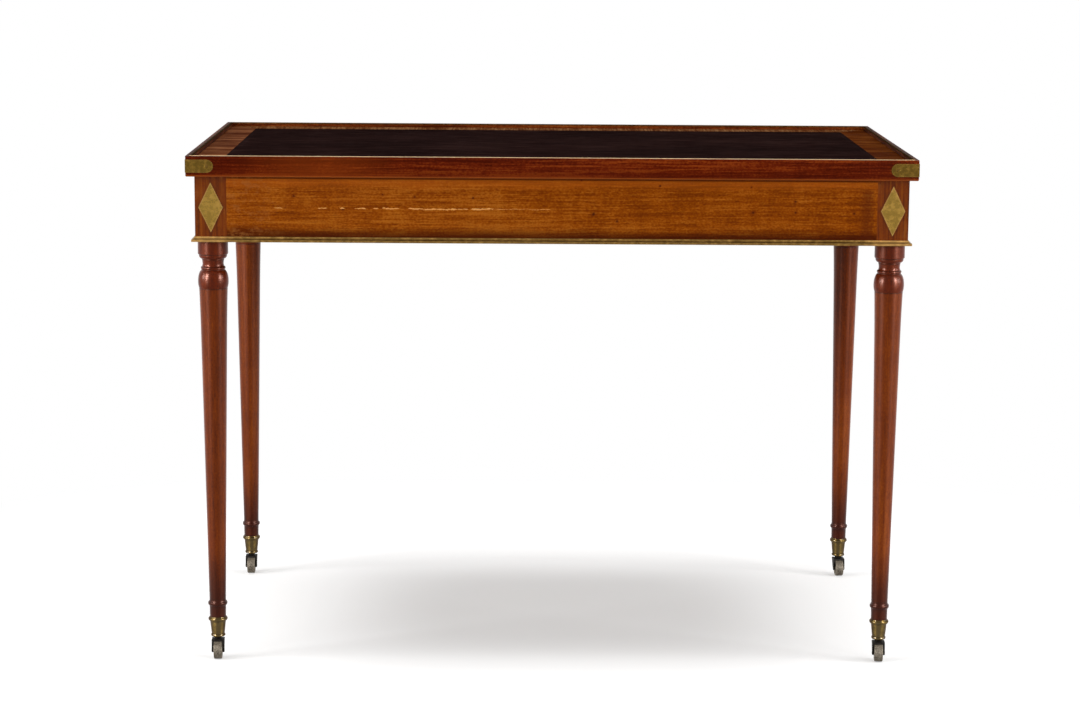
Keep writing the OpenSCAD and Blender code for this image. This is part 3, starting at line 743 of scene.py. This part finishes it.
def leather(name):
    """Old black leather glued down: fine grain, faint lengthwise rub marks."""
    s = Shader(name)
    v = s.place()
    pebble = s.add("ShaderNodeTexVoronoi", {"Vector": v, "Scale": 900.0}).outputs["Distance"]
    rub = s.noise(v, (22, 200, 60), detail=5, rough=0.7, seed=5)
    clouds = s.noise(v, (5, 9, 9), detail=3, seed=6)
    colour = s.ramp(s.summed((clouds, 0.3), (rub, 0.7)), LEATHER_AT, LEATHER)
    relief = s.maths("ADD", s.maths("MULTIPLY", pebble, 0.5), s.maths("MULTIPLY", rub, 0.3))
    dull = s.span(rub, *RUBBED_RANGE, to_low=0.78, to_high=0.66)
    return s.finish(colour, dull, s.bump(relief, distance=0.0002, strength=0.3), Specular_IOR_Level=0.0006)


def baize(name):
    """Green felted wool with a short uneven nap."""
    s = Shader(name)
    v = s.place()
    nap = s.noise(v, (1500, 1500, 1500), detail=2, rough=0.7)
    tufts = s.noise(v, (240, 240, 240), detail=3, seed=2)
    worn = s.noise(v, (7, 7, 7), detail=3, seed=4)
    colour = s.ramp(s.summed((tufts, 0.3), (nap, 0.4), (worn, 0.3)), BAIZE_AT, BAIZE)
    normal = s.bump(nap, distance=0.0005, strength=0.7)
    return s.finish(colour, rough=0.95, normal=normal, Specular_IOR_Level=0.1, Sheen_Weight=0.4,
                    Sheen_Roughness=0.5)


def bone(name, tones):
    """Polished bone, plain or stained: fine pale streaks and tiny dark flecks."""
    s = Shader(name)
    v = s.place()
    streaks = s.noise(v, (300, 22, 22), detail=3, seed=1)
    flecks = s.span(s.noise(v, (900, 160, 160), detail=1, seed=2), *FLECK_RANGE)
    colour = s.ramp(streaks, USUAL, tones)
    colour = s.tint(colour, s.maths("MULTIPLY", flecks, FLECK_DARKNESS), tones[0], blend="MULTIPLY")
    normal = s.bump(streaks, distance=0.0001, strength=0.3)
    return s.finish(colour, rough=0.5, normal=normal, Specular_IOR_Level=0.05)


# What each node is painted with

# Which way the grain runs on boards and rails, and on the crossbanded borders of the top
ALONG = {"front": "X", "back": "X", "left": "Y", "right": "Y"}
ACROSS = {"front": "Y", "back": "Y", "left": "X", "right": "X"}

# Dark, middle and light tones of each wood
FRIEZE = ((104, 44, 2), (135, 64, 4), (162, 90, 20))
LEG = ((64, 18, 0), (102, 39, 0), (134, 62, 4))
RIM_END = ((34, 10, 3), (62, 24, 8), (96, 50, 22))
RIMS = {
    "front": ((64, 12, 1), (94, 27, 4), (128, 52, 12)),
    "back": ((68, 22, 3), (104, 42, 8), (136, 68, 22)),
    "left": RIM_END,
    "right": RIM_END,
}
BORDERS = {
    "front": ((48, 14, 4), (80, 38, 16), (122, 78, 50)),
    "left": ((58, 22, 8), (90, 48, 26), (130, 82, 52)),
    "right": ((48, 12, 1), (80, 34, 4), (110, 62, 24)),
    "back": ((72, 34, 12), (98, 60, 32), (126, 88, 56)),
}
CARCASE = ((118, 84, 48), (146, 108, 66), (170, 132, 86))
WELL = ((66, 28, 14), (88, 42, 22), (112, 60, 34))
FIELD = ((24, 15, 12), (36, 24, 18), (52, 36, 26))

# Gloss and figure of each wood
FRIEZE_LOOK = {
    "rough": 0.36, "polish": 0.07, "contrast": 0.8, "clouding": 0.55, "fine": 0.9, "figure": 1.6,
    "broken": 1.3, "speckle": 0.6,
}
RIM_LOOK = {"contrast": 1.7, "clouding": 0.1, "fine": 0.5, "broken": 1.2, "speckle": 0.25}
RIM_LONG_GLOSS = {"rough": 0.4, "polish": 0.05}
RIM_END_GLOSS = {"rough": 0.5, "polish": 0.02}
BORDER_LOOK = {"rough": 0.6, "polish": 0.0003, "contrast": 1.8, "clouding": 0.1, "fine": 0.6, "broken": 2.0}
LEG_LOOK = {
    "rough": 0.34, "polish": 0.22, "coat": 0.07, "contrast": 1.1, "turned": 0.5, "broken": 2.0,
    "speckle": 0.22,
}
WELL_LOOK = {"rough": 0.55, "polish": 0.03}

# First seeds of the woods that come once for each side
FRIEZE_SEED = 0
RIM_SEED = 10
BORDER_SEED = 20

FRONT_MARKS = (painted_light_under_rim, darker_low_edge, knots, chips, dark_patch, board_ends)
OTHER_MARKS = (darker_low_edge, worm_holes)
LEG_MARKS = (lozenge_shade, turned_shades, stile_shades)

# Dark, middle and light tones of each brass
STRAP = ((70, 54, 18), (97, 74, 28), (126, 96, 46))
LOZENGE = ((112, 86, 32), (136, 107, 47), (168, 128, 74))
SCREW = ((56, 40, 14), (78, 58, 24), (104, 82, 40))
# One brass for all the fillets, painted lit as a highlight in front and painted as shade on the other sides
FILLET_PAINTED_LIT = ((222, 176, 104), (248, 212, 148), (255, 238, 196))
FILLET_PAINTED_SHADED = ((36, 24, 10), (60, 42, 20), (92, 68, 38))
MOULDING = ((66, 44, 14), (104, 78, 38), (142, 112, 62))
CAP = ((54, 42, 14), (74, 58, 23), (97, 79, 41))
AXLE = ((60, 56, 48), (92, 88, 78), (130, 126, 116))

# Gloss and wear of each brass
STRAP_LOOK = {
    "rough": 0.24, "mottle": 0.4, "pitted": 0.25, "seed": 5, "edge": strap_edge_highlight, "edge_share": 0.35,
}
LOZENGE_LOOK = {"rough": 0.24, "mottle": 0.25, "pitted": 0.2, "edge": lozenge_edge_highlight, "edge_share": 0.5}
FILLET_PAINTED_LIT_LOOK = {"rough": 0.3, "metallic": 0.15, "glance": (0.7, 0.5, 0.25)}
FILLET_PAINTED_SHADED_LOOK = {"rough": 0.45, "glance": (0.2, 0.14, 0.07)}
CAP_LOOK = {
    "rough": 0.34, "glance": (0.5, 0.4, 0.25), "coat": 0.4, "turned": 0.8, "mottle": 0.25, "pitted": 0.15,
}


def paint(material, *names):
    """Gives a material to CAD nodes, in place of what they came with."""
    for name in names:
        mesh = bpy.data.objects[name].data
        mesh.materials.clear()
        mesh.materials.append(material)


def at_corners(part):
    """The names of the four nodes of a part that comes once at each corner."""
    return [f"{part}_{corner}" for corner in CORNERS]


def dress_wood():
    """A wood of its own for each board, rail and border, then the legs and what is inside the case."""
    for i, side in enumerate(SIDES):
        along, across = ALONG[side], ACROSS[side]
        marks = FRONT_MARKS if side == "front" else OTHER_MARKS
        frieze = wood(f"frieze_{side}", along, FRIEZE, seed=FRIEZE_SEED + i, extra=marks, **FRIEZE_LOOK)
        paint(frieze, f"case_{side}")
        marks = (rim_shade,) if side == "front" else ()
        gloss = RIM_LONG_GLOSS if along == "X" else RIM_END_GLOSS
        rim = wood(f"rim_{side}", along, RIMS[side], seed=RIM_SEED + i, extra=marks, **RIM_LOOK, **gloss)
        paint(rim, f"rim_rail_{side}")
        border = wood(f"border_{side}", across, BORDERS[side], seed=BORDER_SEED + i, **BORDER_LOOK)
        paint(border, f"top_border_{side}")
    paint(wood("leg", "Z", LEG, seed=30, extra=LEG_MARKS, **LEG_LOOK), *at_corners("leg"))
    paint(wood("carcase", "X", CARCASE, rough=0.6, seed=40), "case_bottom", "top_core")
    paint(wood("well", "X", WELL, seed=50, **WELL_LOOK), "peg_band_front", "peg_band_back")
    well_across = wood("well_across", "Y", WELL, seed=52, **WELL_LOOK)
    paint(well_across, "divider_left", "divider_right", "centre_bar")
    paint(wood("field", "X", FIELD, rough=0.6, polish=0.01, seed=60), "playing_field")


def dress_metal():
    """Brass of several ages, with the fillets painted lit in front and shaded on the other sides, blackened
    iron for the forks, and worn wheels.
    """
    paint(brass("lozenge_brass", LOZENGE, **LOZENGE_LOOK), "lozenge_plates")
    paint(brass("strap_brass", STRAP, **STRAP_LOOK), *at_corners("strap"))
    paint(brass("screw_brass", SCREW), "strap_screws")
    # Painted highlight on the front fillet, painted shade on the others
    paint(brass("fillet_painted_highlight", FILLET_PAINTED_LIT, **FILLET_PAINTED_LIT_LOOK), "rim_fillet_front")
    shaded_sides = SIDES[1:]
    paint(brass("fillet_painted_shade", FILLET_PAINTED_SHADED, **FILLET_PAINTED_SHADED_LOOK), *(f"rim_fillet_{side}" for side in shaded_sides))
    paint(brass("brass_dull", MOULDING, extra=(bright_ends,)), *(f"moulding_{side}" for side in SIDES))
    paint(brass("brass_cap", CAP, **CAP_LOOK), *at_corners("cap"))
    paint(iron("caster_iron"), *at_corners("fork"))
    paint(brass("axle_steel", AXLE), *at_corners("axle"))
    paint(worn_wheel("wheel"), *at_corners("wheel"))


def dress_bone():
    """Plain bone for half of the points and the eyelets, green bone for the other points."""
    paint(bone("bone", BONE), "points_bone", "peg_eyelets")
    paint(bone("green_bone", GREEN_BONE), "points_green")


# Leather and baize

COLUMNS = 96
ROWS = 48
# How deep the open side dips, and its waves per metre along and across the table
DIP = 0.0002
DIP_WAVES_X = 9
DIP_WAVES_Y = 14
DIP_SLICE = 1.7


def lining(name, node, material, up):
    """A thin sheet in the place of a CAD slab, a little uneven on its open side."""
    low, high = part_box(node)
    mesh = bmesh.new()
    open_z, glued_z = (high.z, low.z) if up else (low.z, high.z)
    into = -1 if up else 1

    def layer(z, uneven):
        made = []
        for j in range(ROWS + 1):
            for i in range(COLUMNS + 1):
                x = low.x + (high.x - low.x) * i / COLUMNS
                y = low.y + (high.y - low.y) * j / ROWS
                wave = noise.noise(Vector((x * DIP_WAVES_X, y * DIP_WAVES_Y, DIP_SLICE)))
                dip = into * DIP * (0.5 + 0.5 * wave) if uneven else 0
                made.append(mesh.verts.new((x, y, z + dip)))
        return made

    def at(grid, i, j):
        return grid[j * (COLUMNS + 1) + i]

    face_side = layer(open_z, True)
    back_side = layer(glued_z, False)
    for j in range(ROWS):
        for i in range(COLUMNS):
            corners = ((i, j), (i + 1, j), (i + 1, j + 1), (i, j + 1))
            mesh.faces.new([at(face_side, *c) for c in corners])
            mesh.faces.new([at(back_side, *c) for c in reversed(corners)])
    ring = [(i, 0) for i in range(COLUMNS)] + [(COLUMNS, j) for j in range(ROWS)]
    ring += [(i, ROWS) for i in range(COLUMNS, 0, -1)] + [(0, j) for j in range(ROWS, 0, -1)]
    for a, b in zip(ring, ring[1:] + ring[:1]):
        mesh.faces.new((at(face_side, *b), at(face_side, *a), at(back_side, *a), at(back_side, *b)))
    bmesh.ops.recalc_face_normals(mesh, faces=mesh.faces)
    data = bpy.data.meshes.new(name)
    mesh.to_mesh(data)
    mesh.free()
    data.polygons.foreach_set("use_smooth", [True] * len(data.polygons))
    data.materials.append(material)
    piece = bpy.data.objects.new(name, data)
    bpy.context.scene.collection.objects.link(piece)
    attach(piece, "loose_top")
    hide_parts(node)


def make_linings():
    """Leather on the upper side of the loose top, baize on its lower side."""
    lining("leather_lining", "top_leather", leather("leather"), up=True)
    lining("baize_lining", "top_baize", baize("baize"), up=False)


# Floor, background and lamps

# The strength at which a glow is seen as white
WHITE = 1.0
FLOOR_HALF = 40.0
# How pale the floor is for the light that falls on it, and as it is seen
FLOOR_PALE = 0.50
FLOOR_SEEN_PALE = 0.76
# The floor's fades are distances from the shadow's middle, in shares of the shadow's size
SHADOW_AT = (0.03, 0.025, 0)
SHADOW_SIZE = (0.44, 0.37, 1)
# Painted light: a glow that lightens the floor more the farther it is from the shadow's middle, which
# narrows the shadow
PAINTED_GLOW = 0.34
PAINTED_GLOW_RANGE = (0.4, 1.25)
WHITE_RANGE = (1.6, 2.6)


def grey(share):
    """A grey that sends back that share of the light."""
    return (share, share, share, 1)


def make_floor():
    """A pale floor that keeps the table's shadow, lightened away from its middle by a painted glow, and
    fades to plain white farther out.
    """
    s = Shader("floor")
    mesh = bpy.data.meshes.new("floor")
    h = FLOOR_HALF
    mesh.from_pydata([(-h, -h, 0), (h, -h, 0), (h, h, 0), (-h, h, 0)], [], [(0, 1, 2, 3)])
    floor = bpy.data.objects.new("floor", mesh)
    bpy.context.scene.collection.objects.link(floor)
    scaled = s.vector("DIVIDE", s.vector("SUBTRACT", s.place(), SHADOW_AT), SHADOW_SIZE)
    away = s.maths("SQRT", s.length(s.vector("MULTIPLY", scaled, scaled)))
    lit = s.add("ShaderNodeBsdfDiffuse", {"Color": grey(FLOOR_PALE)}).outputs[0]
    pale = s.add("ShaderNodeBsdfDiffuse", {"Color": grey(FLOOR_SEEN_PALE)}).outputs[0]
    painted_glow = s.add("ShaderNodeEmission", {"Strength": s.span(away, *PAINTED_GLOW_RANGE, 0.0, PAINTED_GLOW)}).outputs[0]
    near = s.add("ShaderNodeAddShader", {0: pale, 1: painted_glow}).outputs[0]
    white = s.add("ShaderNodeEmission", {"Strength": WHITE}).outputs[0]
    shown = s.add("ShaderNodeMixShader", {0: s.span(away, *WHITE_RANGE), 1: near, 2: white}).outputs[0]
    surface = s.add("ShaderNodeMixShader", {0: s.seen(), 1: lit, 2: shown}).outputs[0]
    s.put(s.tree.nodes["Material Output"].inputs["Surface"], surface)
    mesh.materials.append(s.material)


# Strength of the world's light from the horizon and from straight above
SKY_LOW = 0.15
SKY_HIGH = 0.9


def make_world():
    """Soft light, stronger from above, behind a plain white background."""
    world = bpy.data.worlds.new("studio")
    bpy.context.scene.world = world
    world.use_nodes = True
    w = Nodes(world.node_tree)
    way = w.add("ShaderNodeTexCoord").outputs["Generated"]
    sky = w.span(w.split(way)[2], 0.0, 1.0, SKY_LOW, SKY_HIGH, smooth=False)
    strength = w.add("ShaderNodeMix", {0: w.seen(), 2: sky, 3: WHITE}).outputs[0]
    background = w.tree.nodes["Background"]
    w.put(background.inputs["Color"], grey(1))
    w.put(background.inputs["Strength"], strength)


# What every lamp is turned to
AIM = Vector((0, 0, 0.5))
# Lamps on both sides: how far out they stand, their y and their height, their width and tallness, and their
# power on the left and on the right. A gloss-only one shows in polish and brass alone.
SIDE_LAMPS = {
    "side": {"at": (4.2, -1.15, 1.45), "size": (1.6, 1.0), "powers": (125, 108), "gloss_only": False},
    "box": {"at": (1.9, -1.6, 1.0), "size": (0.8, 1.7), "powers": (10, 10), "gloss_only": False},
    "sheen": {"at": (1.9, -1.58, 1.15), "size": (0.6, 1.3), "powers": (48, 32), "gloss_only": True},
    "hot_spot": {"at": (1.9, -1.56, 1.2), "size": (0.5, 0.6), "powers": (80, 80), "gloss_only": True},
}
TOP_LAMP_AT = (0.001, 0, 2.9)
TOP_LAMP_SIZE = (1.2, 0.7)
TOP_LAMP_POWER = 14


def softbox(name, at, size, power, gloss_only=False):
    """A rectangular lamp at a point, turned to the table and unseen by the camera."""
    data = bpy.data.lights.new(name, "AREA")
    data.shape = "RECTANGLE"
    data.size, data.size_y = size
    data.energy = power
    lamp = bpy.data.objects.new(name, data)
    aim = AIM - Vector(at)
    lamp.matrix_world = Matrix.Translation(at) @ aim.to_track_quat("-Z", "Y").to_matrix().to_4x4()
    lamp.visible_camera = False
    lamp.visible_diffuse = not gloss_only
    bpy.context.scene.collection.objects.link(lamp)


def make_lights():
    """The same lamps on both sides of the table, and one above it."""
    for i, (side, sign) in enumerate((("left", -1), ("right", 1))):
        for kind, lamp in SIDE_LAMPS.items():
            out, y, up = lamp["at"]
            power = lamp["powers"][i]
            softbox(f"{side}_{kind}", (sign * out, y, up), lamp["size"], power, lamp["gloss_only"])
    softbox("top_box", TOP_LAMP_AT, TOP_LAMP_SIZE, TOP_LAMP_POWER)


make_camera()
dress_wood()
dress_metal()
dress_bone()
make_linings()
make_floor()
make_world()
make_lights()
bpy.context.scene.view_settings.view_transform = "Standard"
